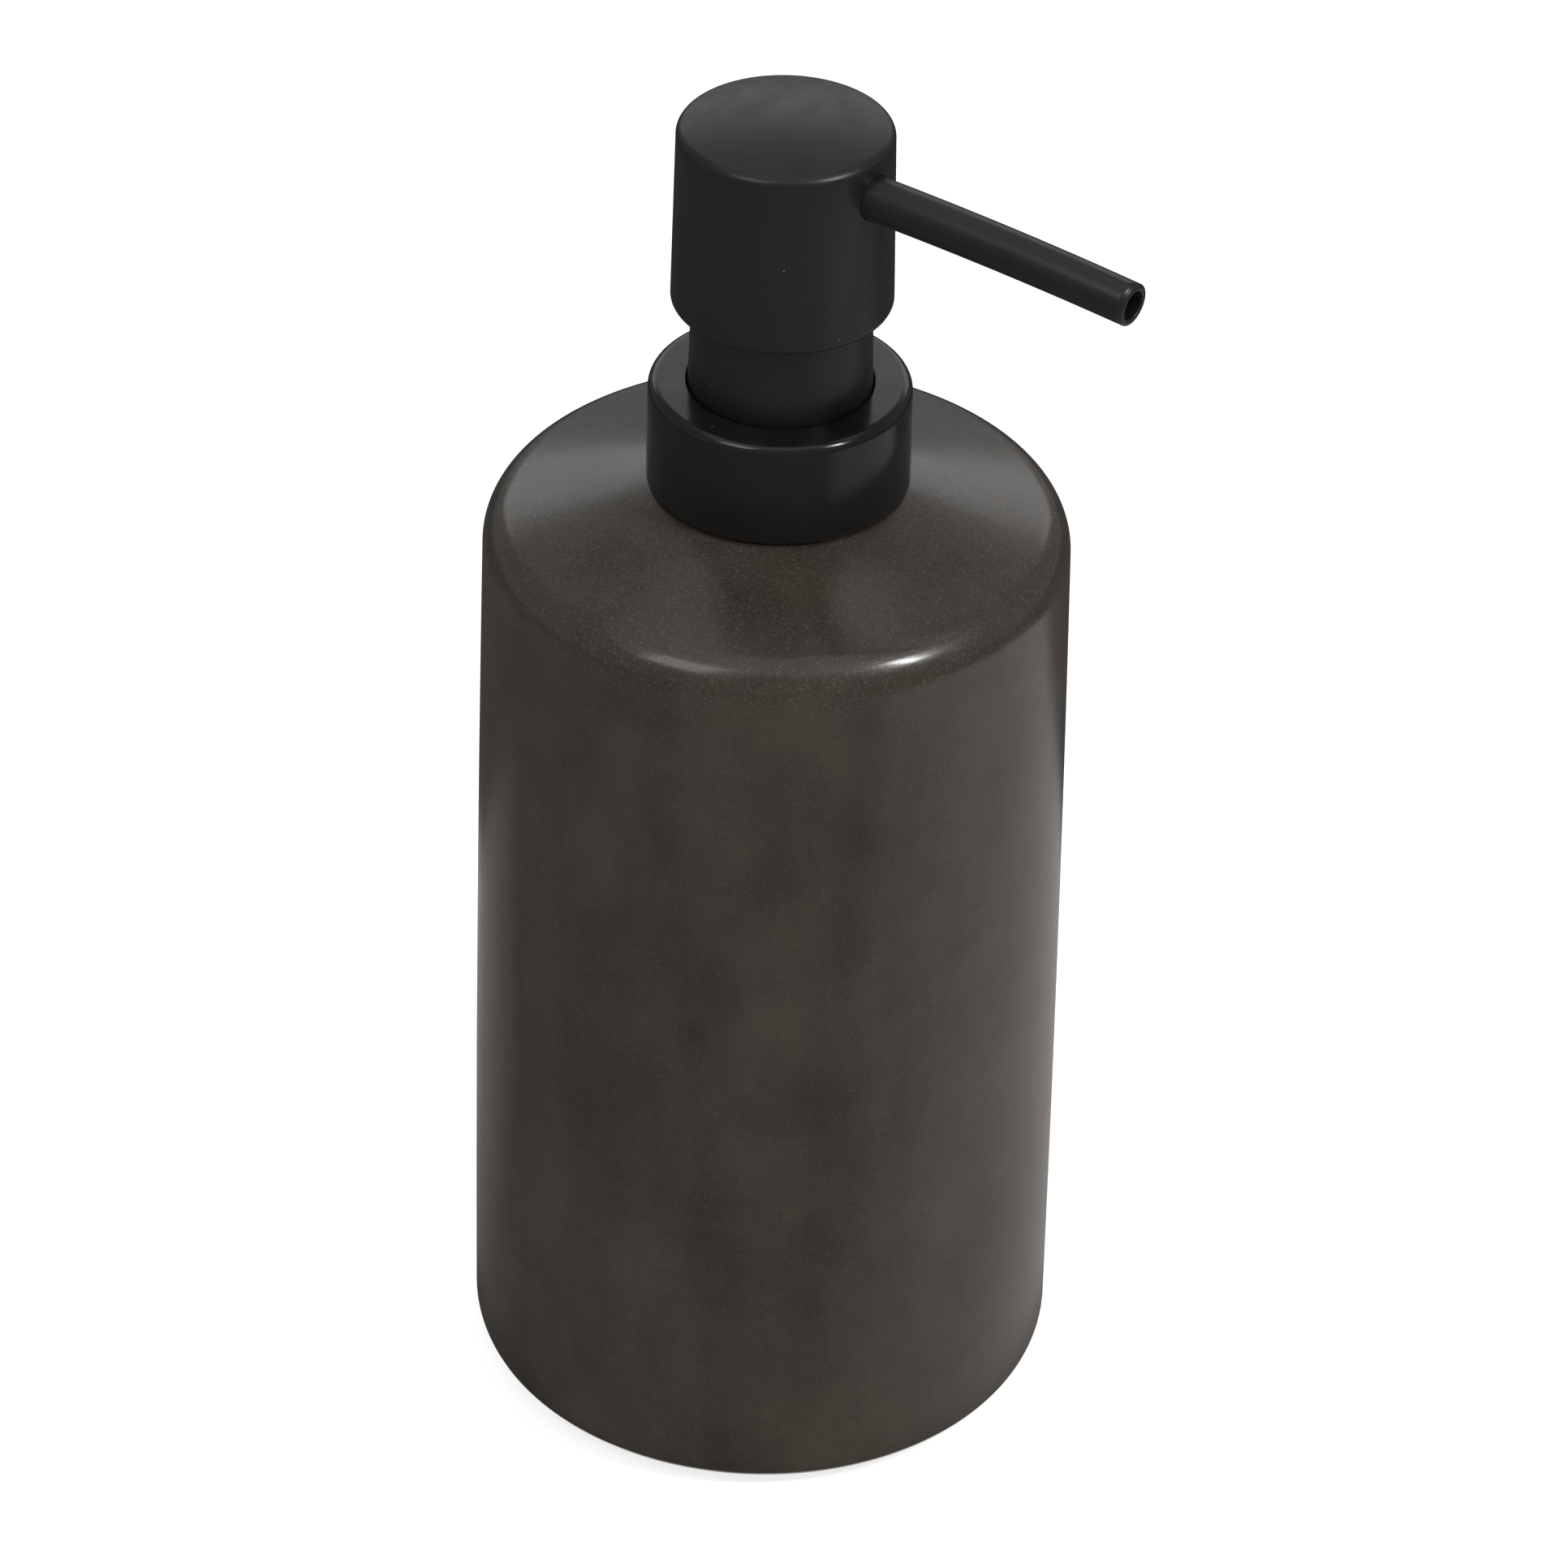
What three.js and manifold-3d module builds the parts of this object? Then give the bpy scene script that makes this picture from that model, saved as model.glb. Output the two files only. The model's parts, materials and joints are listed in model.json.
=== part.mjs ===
// Soap pump dispenser: a stoneware bottle with a threaded, spring-return lotion pump.
// Millimetres, +Z up. The origin is the centre of the bottle's underside; the spout points along +X.
import * as THREE from 'three';
import { mergeVertices } from 'three/addons/utils/BufferGeometryUtils.js';
import Module from 'manifold-3d';

const wasm = await Module();
wasm.setup();

// ---------------------------------------------------------------- driving dimensions
const FULL_TURN = 2 * Math.PI;
const SEGMENTS = 32;
const FINE_SEGMENTS = 40;
const COARSE_SEGMENTS = 20;
const HOLE_SEGMENTS = 12;
const CUT_OVERRUN = 1;              // how far a cutting shape runs past the face it cuts
const SEAT_GAP = 0.05;              // between two faces that rest on each other
const RUN_CLEARANCE = 0.07;         // radial, between a sliding or turning piece and its bore
const PRESS_CLEARANCE = 0.05;       // radial, between pieces pressed or glued together

const bottle = {
  baseRadius: 37.5,
  taper: 1.4,                       // how much narrower the wall is where it meets the shoulder's round
  bulge: 0.25,                      // outward bow of the wall at half height
  wall: 3.6,
  floor: 4.5,
  roof: 4.2,
  wallTop: 121.4,
  baseRound: 5,
  shoulderRound: 5,
  shoulderSlope: 16.2 * Math.PI / 180,
  landMargin: 0.2,                  // how far the flat ring round the mouth shows outside the closure's cap
  mouthRadius: 12.4,
  innerRound: 4,
};

const thread = {
  pitch: 25.4 / 6,
  turns: 1.15,
  rootStep: 0.15,                   // the neck's radius beyond the bottle's mouth
  depth: 1.15,
  bury: 0.25,                       // how far a ridge runs into its wall
  flankRoot: 1.7,                   // ridge width where it meets the wall
  flankCrest: 0.8,
  radialPlay: 0.45,
  axialPlay: 0.15,
  rimRelief: 0.4,                   // plain neck above the ridge's end
  flangeRelief: 0.3,                // between the closure's ridge and the neck's flange
  firstTurnStart: 105 * Math.PI / 180,
  stepsPerTurn: 24,
};

const insert = {
  wall: 1.3,
  flangeThickness: 1,
  flangeClearance: 0.3,             // between the flange and the closure's skirt
  spigotDepth: 7.2,
  bondThickness: 0.6,
  bondStartInset: 1,                // bare spigot below the adhesive
  bondEndInset: 0.2,                // bare spigot above it
};

const gasket = { thickness: 0.9, rimInset: 0.25 };

const closure = {
  taper: 0.1,                       // of the visible sleeve, over its height
  edgeRound: 1.2,
  sleeveWall: 1.1,
  sleeveTop: 0.8,
  capWall: 0.85,
  capTop: 0.9,
  ribs: 12,
  ribDepth: 0.35,
  ribWidth: 1.2,
  ribInset: 1,                      // plain cap above and below each rib
  capLift: 0.5,                     // of the cap's lower edge above the sleeve's
};

const guide = {
  taper: 0.35,
  wall: 1.25,
  rimInset: 0.15,                   // of its flange, inside the neck's outer radius
  flangeWidth: 1.15,
  flangeThickness: 0.8,
  lipChamfer: 0.35,
  overlap: 2.5,                     // how far it reaches up inside the raised head
};

const head = {
  stroke: 10,
  restGap: 1.2,                     // left above the collar when the head is fully down
  runningGap: 0.5,                  // between its bore and the guide sleeve's base when fully down
  taper: 0.4,
  height: 24.75,
  wall: 1.7,
  innerRound: 1.5,
  domeRise: 1,
  rimRound: 1.2,
  lipRound: 0.9,
  roof: 1.9,                        // from the top of its dome to its ceiling
};

const spout = {
  rootRadius: 2.75,
  tipRadius: 2.65,
  boreRadius: 1.8,
  drop: 6.2,                        // of its centre line below the top of the head
  reach: 49.4,                        // from the pump's axis to the tip
  bend: 4 * Math.PI / 180,          // downward turn between the head and the tip
  insertion: 8,                     // length held inside the head
  lipRound: 0.35,
  holeClearance: 0.08,              // radial, where it passes through the head's side
  steps: 10,
};

const stem = { wall: 0.7, bore: 2.1, counterboreDepth: 10.2, socketDepth: 8.8 };

const core = {
  columnWall: 1.9,
  plateThickness: 1.3,
  plateClearance: 0.8,              // above the guide sleeve when the head is fully down
  columnClearance: 2.4,             // above the retaining bush when the head is fully down
  plateGap: 0.15,                   // radial, inside the head
  armGap: 0.25,
  armWall: 1.3,                     // round the spout
  passage: 2,
  roofGap: 1.4,
};

const bush = {
  guideWall: 1.48,
  guideRise: 4.9,                   // above the housing's flange
  floorGap: 0.2,                    // between its lower edges and the housing's cup floor
  plateThickness: 1,
  skirtWall: 0.8,
};

const stemSeal = { width: 0.85, height: 1.3, lipWidth: 0.35, lipDepth: 0.25, relief: 0.2 };

const housing = {
  flangeThickness: 1,
  cupClearance: 0.2,                // radial, inside the neck insert
  cupWall: 0.85,
  cupDepth: 6,
  cupFloor: 1.2,
  cylinderBore: 6.2,
  cylinderWall: 1,
  cylinderDepth: 40.2,              // from the flange's top to the ball cage's ledge
  chamfer: 0.8,                     // at the cylinder's lower end
  ventRadius: 0.7,
  ventDepth: 9.5,
};

const inlet = {
  ballRadius: 2,
  lift: 1.4,
  ballGap: 0.35,                    // radial, round the ball
  seatBore: 1.3,
  chamberBore: 4.3,
  chamberHeight: 2.4,
  chamberTaper: 0.6,
  throat: 1,
  bodyWall: 1.3,
  socketWall: 1.25,
  socketDepth: 8,
  socketTaper: 0.5,
};

const cage = { thickness: 2, centreHole: 1.2, sideHole: 0.8, sideHoles: 4, sideHoleCircle: 3.3 };

const dipTube = { radius: 2.9, wall: 0.8, floorGap: 3.5, cutAngle: 30 * Math.PI / 180 };

const piston = {
  height: 5.5,
  restDepth: 11.1,
  skirtWall: 0.7,
  hubWall: 0.9,
  web: 1.2,
  slip: 0.9,                        // how far it slides on the valve stem before it follows
  waist: 0.35,
  lipWidth: 0.3,
  lipSetback: 0.6,
};

const valveStem = {
  radius: 2.9,
  bore: 1.6,
  flangeMargin: 0.38,               // its flange beyond the spring
  flangeThickness: 1.3,
  spigotGap: 0.58,                  // radial, inside the spring
  spigotLength: 4.2,
  portRadius: 0.7,
  portLift: 0.2,                    // of the port above the piston's lower end
  topGap: 0.2,                      // between its end and the stem's counterbore
  endWall: 0.8,
};

const spring = { meanRadius: 4.2, wireRadius: 0.42, coils: 8, stepsPerCoil: 12, wireSides: 5 };

// ---------------------------------------------------------------- radii that follow from them
const bottleTopRadius = bottle.baseRadius - bottle.taper;
const insertSpigotRadius = bottle.mouthRadius - insert.bondThickness - 2 * PRESS_CLEARANCE;
const insertBore = insertSpigotRadius - insert.wall;
const neckRadius = bottle.mouthRadius + thread.rootStep;
const capInnerRadius = neckRadius + thread.depth + thread.radialPlay;
const capOuterRadius = capInnerRadius + closure.capWall;
const sleeveBoreRadius = capOuterRadius + PRESS_CLEARANCE;
const collarBottomRadius = sleeveBoreRadius + closure.sleeveWall;
const collarTopRadius = collarBottomRadius - closure.taper;
const landRadius = capOuterRadius + bottle.landMargin;
const insertFlangeRadius = capInnerRadius - insert.flangeClearance;
const gasketRadius = neckRadius - gasket.rimInset;
const guideFlangeRadius = neckRadius - guide.rimInset;
const guideBaseRadius = guideFlangeRadius - guide.flangeWidth;
const guideTopRadius = guideBaseRadius - guide.taper;
const collarHoleRadius = guideBaseRadius + 2 * RUN_CLEARANCE;
const headBottomRadius = guideBaseRadius + head.runningGap + head.wall;
const headTopRadius = headBottomRadius - head.taper;
const cupRadius = insertBore - housing.cupClearance;
const cupBore = cupRadius - housing.cupWall;
const cylinderRadius = housing.cylinderBore + housing.cylinderWall;
const counterboreRadius = valveStem.radius + PRESS_CLEARANCE;
const stemRadius = counterboreRadius + stem.wall;
const bushBore = stemRadius + RUN_CLEARANCE;
const bushGuideRadius = bushBore + bush.guideWall;
const stemSealRadius = stemRadius + stemSeal.width;
const tubeSocketBore = dipTube.radius + PRESS_CLEARANCE;
const ballBore = inlet.ballRadius + inlet.ballGap;

// ---------------------------------------------------------------- heights that follow from them
const slopeRun = (fromRadius, toRadius) => (fromRadius - toRadius) * Math.tan(bottle.shoulderSlope);
const shoulderTurn = Math.PI / 2 - bottle.shoulderSlope;
const shoulderEndRadius = bottleTopRadius - bottle.shoulderRound * (1 - Math.cos(shoulderTurn));
const shoulderEndZ = bottle.wallTop + bottle.shoulderRound * Math.sin(shoulderTurn);
const mouthZ = shoulderEndZ + slopeRun(shoulderEndRadius, landRadius);
const insertFlangeTopZ = mouthZ + SEAT_GAP + insert.flangeThickness;
// The closure's ridge starts just above the neck's flange, and the neck's own ridge ends just below its rim.
const closureThreadZ = insertFlangeTopZ + thread.flangeRelief + thread.flankRoot / 2
  - thread.pitch * thread.firstTurnStart / FULL_TURN;
const neckThreadZ = closureThreadZ + thread.flankRoot + thread.axialPlay;
const insertTopZ = neckThreadZ + thread.pitch * thread.turns + thread.flankRoot / 2 + thread.rimRelief;
const gasketZ = insertTopZ + SEAT_GAP;
const housingFlangeZ = gasketZ + gasket.thickness + SEAT_GAP;
const housingTopZ = housingFlangeZ + housing.flangeThickness;
const guideFlangeZ = housingTopZ + SEAT_GAP;
const capPlateZ = guideFlangeZ + guide.flangeThickness + SEAT_GAP;
const capTopZ = capPlateZ + closure.capTop;
const collarTopZ = capTopZ + SEAT_GAP + closure.sleeveTop;
const collarBottomZ = mouthZ + SEAT_GAP;
const headBottomZ = collarTopZ + head.stroke + head.restGap;
const headTopZ = headBottomZ + head.height;
const guideTopZ = headBottomZ + guide.overlap;
const spoutZ = headTopZ - spout.drop;
const plateZ = guideTopZ + head.stroke + core.plateClearance;
const columnBottomZ = housingTopZ + bush.guideRise + head.stroke + core.columnClearance;
const pistonTopZ = housingTopZ - piston.restDepth;
const pistonBottomZ = pistonTopZ - piston.height;
const stemBottomZ = pistonTopZ + piston.slip + SEAT_GAP;
const stemTopZ = columnBottomZ + stem.socketDepth;
const cageLedgeZ = housingTopZ - housing.cylinderDepth;
const cageZ = cageLedgeZ + SEAT_GAP;
const springBottomZ = cageZ + cage.thickness + SEAT_GAP;
const valveFlangeTopZ = pistonBottomZ - SEAT_GAP;
const springTopZ = valveFlangeTopZ - valveStem.flangeThickness - SEAT_GAP;
const ballZ = cageZ - SEAT_GAP - inlet.lift - inlet.ballRadius;
// The seat is a 45-degree cone that stays SEAT_GAP outside the resting ball.
const seatOffset = ballZ - Math.SQRT2 * (inlet.ballRadius + SEAT_GAP);
const seatBottomZ = seatOffset + inlet.seatBore;
const seatTopZ = seatOffset + ballBore;
const socketTopZ = seatBottomZ - inlet.throat;
const socketBottomZ = socketTopZ - inlet.socketDepth;
const headBodyTopZ = headTopZ - head.domeRise - head.rimRound;
const headCeilingZ = headTopZ - head.roof;
const cupBottomZ = housingTopZ - housing.flangeThickness - housing.cupDepth;
const cupFloorZ = cupBottomZ + 2 * housing.cupFloor;
const bushBottomZ = cupFloorZ + bush.floorGap;
const bushTopZ = housingTopZ + bush.guideRise;

// ---------------------------------------------------------------- materials
function material(colour, roughness, metalness = 0) {
  return new THREE.MeshStandardMaterial({ color: colour, roughness, metalness });
}

const finish = {
  glaze: material('#403c37', 0.42, 0.35),
  satinBlack: material('#232323', 0.42),
  glossBlack: material('#1b1b1b', 0.25),
  naturalPlastic: material('#dfe0da', 0.45),
  clearTube: material('#e9ebe6', 0.3),
  sealRubber: material('#55575a', 0.7),
  adhesive: material('#c9c4b4', 0.6),
  steel: material('#b9bcc0', 0.3, 1),
};

// ---------------------------------------------------------------- shape helpers
function merged(geometry) {
  const bare = geometry.clone();
  bare.deleteAttribute('normal');
  bare.deleteAttribute('uv');
  const welded = mergeVertices(bare, 1e-4);
  const source = welded.index.array;
  const kept = [];
  for (let i = 0; i < source.length; i += 3) {
    const [a, b, c] = [source[i], source[i + 1], source[i + 2]];
    if (a !== b && b !== c && c !== a) kept.push(a, b, c);
  }
  welded.setIndex(kept);
  return welded;
}

function solid(geometry) {
  const closed = merged(geometry);
  const vertProperties = new Float32Array(closed.attributes.position.array);
  const triVerts = new Uint32Array(closed.index.array);
  return new wasm.Manifold(new wasm.Mesh({ numProp: 3, vertProperties, triVerts }));
}

function fromSolid(body) {
  const mesh = body.getMesh();
  const geometry = new THREE.BufferGeometry();
  geometry.setAttribute('position', new THREE.BufferAttribute(mesh.vertProperties, 3));
  geometry.setIndex(new THREE.BufferAttribute(mesh.triVerts, 1));
  geometry.computeVertexNormals();
  return geometry;
}

// Points run counter-clockwise in the (radius, height) plane, so that faces point out.
function turned(points, segments = SEGMENTS) {
  const profile = points.map(([radius, height]) => new THREE.Vector2(radius, height));
  const onAxis = points[0][0] === 0 && points[points.length - 1][0] === 0;
  if (!onAxis) profile.push(profile[0].clone());
  return merged(new THREE.LatheGeometry(profile, segments).rotateX(Math.PI / 2));
}

function ring(innerRadius, outerRadius, bottomZ, topZ, segments = SEGMENTS) {
  const points = [[innerRadius, bottomZ], [outerRadius, bottomZ], [outerRadius, topZ], [innerRadius, topZ]];
  return turned(points, segments);
}

function rod(radius, bottomZ, topZ, segments = SEGMENTS) {
  return turned([[0, bottomZ], [radius, bottomZ], [radius, topZ], [0, topZ]], segments);
}

function arc(centreRadius, centreZ, radius, fromAngle, toAngle, steps) {
  const points = [];
  for (let i = 0; i <= steps; i += 1) {
    const angle = fromAngle + (toAngle - fromAngle) * i / steps;
    points.push([centreRadius + radius * Math.cos(angle), centreZ + radius * Math.sin(angle)]);
  }
  return points;
}

function block(width, depth, height, x, y, z) {
  return new THREE.BoxGeometry(width, depth, height).translate(x, y, z);
}

function rodAlongX(radius, fromX, toX, z, segments = COARSE_SEGMENTS) {
  const length = toX - fromX;
  return rod(radius, 0, length, segments).rotateY(Math.PI / 2).translate(fromX, 0, z);
}

// A helix about Z whose frames keep the section's own axes radial and along the axis.
class Helix extends THREE.Curve {
  constructor(radius, pitch, fromAngle, toAngle, startZ) {
    super();
    Object.assign(this, { radius, pitch, fromAngle, toAngle, startZ });
  }

  angleAt(t) {
    return this.fromAngle + (this.toAngle - this.fromAngle) * t;
  }

  getPoint(t, target = new THREE.Vector3()) {
    const angle = this.angleAt(t);
    const z = this.startZ + this.pitch * angle / FULL_TURN;
    return target.set(this.radius * Math.cos(angle), this.radius * Math.sin(angle), z);
  }

  getPointAt(t, target) {
    return this.getPoint(t, target);
  }

  computeFrenetFrames(steps) {
    const frames = { tangents: [], normals: [], binormals: [] };
    for (let i = 0; i <= steps; i += 1) {
      const angle = this.angleAt(i / steps);
      frames.tangents.push(new THREE.Vector3(-Math.sin(angle), Math.cos(angle), 0));
      frames.normals.push(new THREE.Vector3(Math.cos(angle), Math.sin(angle), 0));
      frames.binormals.push(new THREE.Vector3(0, 0, -1));
    }
    return frames;
  }
}

function swept(sectionPoints, path, steps) {
  const section = new THREE.Shape(sectionPoints.map(([x, y]) => new THREE.Vector2(x, y)));
  return new THREE.ExtrudeGeometry(section, { steps, extrudePath: path, bevelEnabled: false });
}

// A thread ridge from its wall radius to its crest radius, which is inside or outside the wall.
function threadRidge(wallRadius, crestRadius, fromAngle, toAngle, startZ) {
  const rise = crestRadius - wallRadius;
  const bury = -Math.sign(rise) * thread.bury;
  const rootHalf = thread.flankRoot / 2;
  const crestHalf = thread.flankCrest / 2;
  const section = [[bury, -rootHalf], [0, -rootHalf], [rise, -crestHalf]];
  section.push([rise, crestHalf], [0, rootHalf], [bury, rootHalf]);
  const path = new Helix(wallRadius, thread.pitch, fromAngle, toAngle, startZ);
  const steps = Math.round(thread.stepsPerTurn * (toAngle - fromAngle) / FULL_TURN);
  return swept(section, path, steps);
}

// ---------------------------------------------------------------- bottle and neck
function bottleWallRadius(z) {
  const t = (z - bottle.baseRound) / (bottle.wallTop - bottle.baseRound);
  const straight = bottle.baseRadius - bottle.taper * t;
  return straight + bottle.bulge * 4 * t * (1 - t);
}

function bottleShape() {
  const wallSteps = 4;
  const wallZ = (i) => bottle.baseRound + (bottle.wallTop - bottle.baseRound) * i / wallSteps;
  const baseCentre = bottle.baseRadius - bottle.baseRound;
  const outer = [[0, 0], ...arc(baseCentre, bottle.baseRound, bottle.baseRound, -Math.PI / 2, 0, 4)];
  for (let i = 1; i < wallSteps; i += 1) outer.push([bottleWallRadius(wallZ(i)), wallZ(i)]);
  const shoulderCentre = bottleTopRadius - bottle.shoulderRound;
  outer.push(...arc(shoulderCentre, bottle.wallTop, bottle.shoulderRound, 0, shoulderTurn, 4));
  outer.push([landRadius, mouthZ], [bottle.mouthRadius, mouthZ]);

  const round = bottle.innerRound;
  const innerTop = bottleTopRadius - bottle.wall;
  const innerBase = bottle.baseRadius - bottle.wall;
  const roofZ = mouthZ - bottle.roof;
  const cornerZ = roofZ - slopeRun(innerTop - round, bottle.mouthRadius);
  const inner = [[bottle.mouthRadius, roofZ]];
  inner.push(...arc(innerTop - round, cornerZ - round, round, shoulderTurn, 0, 2));
  for (let i = wallSteps - 1; i > 0; i -= 1) inner.push([bottleWallRadius(wallZ(i)) - bottle.wall, wallZ(i)]);
  inner.push(...arc(innerBase - round, bottle.floor + round, round, 0, -Math.PI / 2, 2));
  inner.push([0, bottle.floor]);
  return turned([...outer, ...inner], FINE_SEGMENTS);
}

function neckInsertShape() {
  const bottomZ = mouthZ - insert.spigotDepth;
  const flangeZ = mouthZ + SEAT_GAP;
  const body = turned([
    [insertBore, bottomZ],
    [insertSpigotRadius, bottomZ],
    [insertSpigotRadius, flangeZ],
    [insertFlangeRadius, flangeZ],
    [insertFlangeRadius, insertFlangeTopZ],
    [neckRadius, insertFlangeTopZ],
    [neckRadius, insertTopZ],
    [insertBore, insertTopZ],
  ]);
  const ridge = threadRidge(neckRadius, neckRadius + thread.depth, 0, thread.turns * FULL_TURN, neckThreadZ);
  return fromSolid(solid(body).add(solid(ridge)));
}

function insertBondShape() {
  const inner = insertSpigotRadius + PRESS_CLEARANCE;
  const bottomZ = mouthZ - insert.spigotDepth + insert.bondStartInset;
  return ring(inner, inner + insert.bondThickness, bottomZ, mouthZ - insert.bondEndInset);
}

function gasketShape() {
  return ring(insertBore, gasketRadius, gasketZ, gasketZ + gasket.thickness);
}

// ---------------------------------------------------------------- screw closure
// Upright bars round the cap's outer wall: ribs on the cap, and the grooves in the sleeve that take them.
function ribPrisms(depth, width, bottomZ, topZ) {
  const prisms = [];
  for (let i = 0; i < closure.ribs; i += 1) {
    const angle = FULL_TURN * (i + 0.5) / closure.ribs;
    const prism = block(2 * depth, width, topZ - bottomZ, capOuterRadius, 0, (topZ + bottomZ) / 2);
    prisms.push(solid(prism.rotateZ(angle)));
  }
  return prisms;
}

function closureCapShape() {
  const bottomZ = collarBottomZ + closure.capLift;
  const body = turned([
    [capInnerRadius, bottomZ],
    [capOuterRadius, bottomZ],
    [capOuterRadius, capTopZ],
    [collarHoleRadius, capTopZ],
    [collarHoleRadius, capPlateZ],
    [capInnerRadius, capPlateZ],
  ], FINE_SEGMENTS);
  const crest = capInnerRadius - thread.depth;
  const lastAngle = thread.firstTurnStart + FULL_TURN;
  const ridge = threadRidge(capInnerRadius, crest, thread.firstTurnStart, lastAngle, closureThreadZ);
  let cap = solid(body).add(solid(ridge));
  const ribBottomZ = bottomZ + closure.ribInset;
  const ribTopZ = capTopZ - closure.ribInset;
  for (const rib of ribPrisms(closure.ribDepth, closure.ribWidth, ribBottomZ, ribTopZ)) cap = cap.add(rib);
  return fromSolid(cap);
}

function collarSleeveShape() {
  const round = closure.edgeRound;
  const edge = arc(collarTopRadius - round, collarTopZ - round, round, 0, Math.PI / 2, 4);
  const innerTopZ = collarTopZ - closure.sleeveTop;
  const body = turned([
    [sleeveBoreRadius, collarBottomZ],
    [collarBottomRadius, collarBottomZ],
    ...edge,
    [collarHoleRadius, collarTopZ],
    [collarHoleRadius, innerTopZ],
    [sleeveBoreRadius, innerTopZ],
  ], FINE_SEGMENTS);
  let sleeve = solid(body);
  const play = 2 * PRESS_CLEARANCE;
  const grooveBottomZ = collarBottomZ + closure.ribInset;
  const grooves = ribPrisms(closure.ribDepth + play, closure.ribWidth + 2 * play, grooveBottomZ, capTopZ);
  for (const groove of grooves) sleeve = sleeve.subtract(groove);
  return fromSolid(sleeve);
}

// ---------------------------------------------------------------- pump engine
function guideSleeveShape() {
  const flangeTopZ = guideFlangeZ + guide.flangeThickness;
  const lip = guide.lipChamfer;
  return turned([
    [guideBaseRadius - guide.wall, guideFlangeZ],
    [guideFlangeRadius, guideFlangeZ],
    [guideFlangeRadius, flangeTopZ],
    [guideBaseRadius, flangeTopZ],
    [guideTopRadius, guideTopZ - lip],
    [guideTopRadius - lip, guideTopZ],
    [guideTopRadius - guide.wall, guideTopZ],
  ]);
}

function retainingBushShape() {
  const skirtOuter = cupBore - PRESS_CLEARANCE;
  const plateRadius = guideBaseRadius - guide.wall - PRESS_CLEARANCE;
  const plateBottomZ = housingTopZ + SEAT_GAP;
  const plateTopZ = plateBottomZ + bush.plateThickness;
  const sealBore = stemSealRadius + PRESS_CLEARANCE;
  const sealZ = bushTopZ - stemSeal.height;
  return turned([
    [bushBore, bushBottomZ],
    [bushGuideRadius, bushBottomZ],
    [bushGuideRadius, plateBottomZ],
    [skirtOuter - bush.skirtWall, plateBottomZ],
    [skirtOuter - bush.skirtWall, bushBottomZ],
    [skirtOuter, bushBottomZ],
    [skirtOuter, plateBottomZ],
    [plateRadius, plateBottomZ],
    [plateRadius, plateTopZ],
    [bushGuideRadius, plateTopZ],
    [bushGuideRadius, bushTopZ],
    [sealBore, bushTopZ],
    [sealBore, sealZ],
    [bushBore, sealZ],
  ]);
}

function stemSealShape() {
  const bottomZ = bushTopZ - stemSeal.height + SEAT_GAP;
  const topZ = bushTopZ - SEAT_GAP;
  return turned([
    [bushBore + stemSeal.relief, bottomZ],
    [stemSealRadius, bottomZ],
    [stemSealRadius, topZ],
    [bushBore + stemSeal.lipWidth, topZ],
    [bushBore, topZ - stemSeal.lipDepth],
  ], COARSE_SEGMENTS);
}

function housingShape() {
  const chamberBottomZ = cageLedgeZ - inlet.chamberHeight;
  const socketRadius = tubeSocketBore + inlet.socketWall;
  const inletRadius = inlet.chamberBore + inlet.bodyWall;
  const body = turned([
    [tubeSocketBore, socketBottomZ],
    [socketRadius, socketBottomZ],
    [socketRadius, socketTopZ - inlet.socketTaper],
    [inletRadius, seatBottomZ],
    [inletRadius, chamberBottomZ],
    [cylinderRadius, cageLedgeZ - housing.chamfer],
    [cylinderRadius, cupBottomZ],
    [cupRadius, cupBottomZ + housing.cupFloor],
    [cupRadius, housingFlangeZ],
    [gasketRadius, housingFlangeZ],
    [gasketRadius, housingTopZ],
    [cupBore, housingTopZ],
    [cupBore, cupFloorZ],
    [housing.cylinderBore, cupBottomZ + housing.cupFloor],
    [housing.cylinderBore, cageLedgeZ],
    [inlet.chamberBore, cageLedgeZ],
    [inlet.chamberBore, chamberBottomZ],
    [ballBore, chamberBottomZ - inlet.chamberTaper],
    [ballBore, seatTopZ],
    [inlet.seatBore, seatBottomZ],
    [inlet.seatBore, socketTopZ],
    [tubeSocketBore, socketTopZ],
  ]);
  const ventZ = housingTopZ - housing.ventDepth;
  const vent = rodAlongX(housing.ventRadius, 0, cylinderRadius + CUT_OVERRUN, ventZ, HOLE_SEGMENTS);
  return fromSolid(solid(body).subtract(solid(vent)));
}

function ballCageShape() {
  const radius = housing.cylinderBore - PRESS_CLEARANCE;
  const cageTopZ = cageZ + cage.thickness;
  let body = solid(rod(radius, cageZ, cageTopZ));
  const hole = (size, x, y) => {
    return solid(rod(size, cageZ - CUT_OVERRUN, cageTopZ + CUT_OVERRUN, HOLE_SEGMENTS).translate(x, y, 0));
  };
  body = body.subtract(hole(cage.centreHole, 0, 0));
  for (let i = 0; i < cage.sideHoles; i += 1) {
    const angle = FULL_TURN * i / cage.sideHoles;
    const x = cage.sideHoleCircle * Math.cos(angle);
    const y = cage.sideHoleCircle * Math.sin(angle);
    body = body.subtract(hole(cage.sideHole, x, y));
  }
  return fromSolid(body);
}

function inletBallShape() {
  const outline = arc(0, ballZ, inlet.ballRadius, -Math.PI / 2, Math.PI / 2, 8);
  outline[0][0] = 0;
  outline[outline.length - 1][0] = 0;
  return turned(outline, COARSE_SEGMENTS);
}

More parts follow.
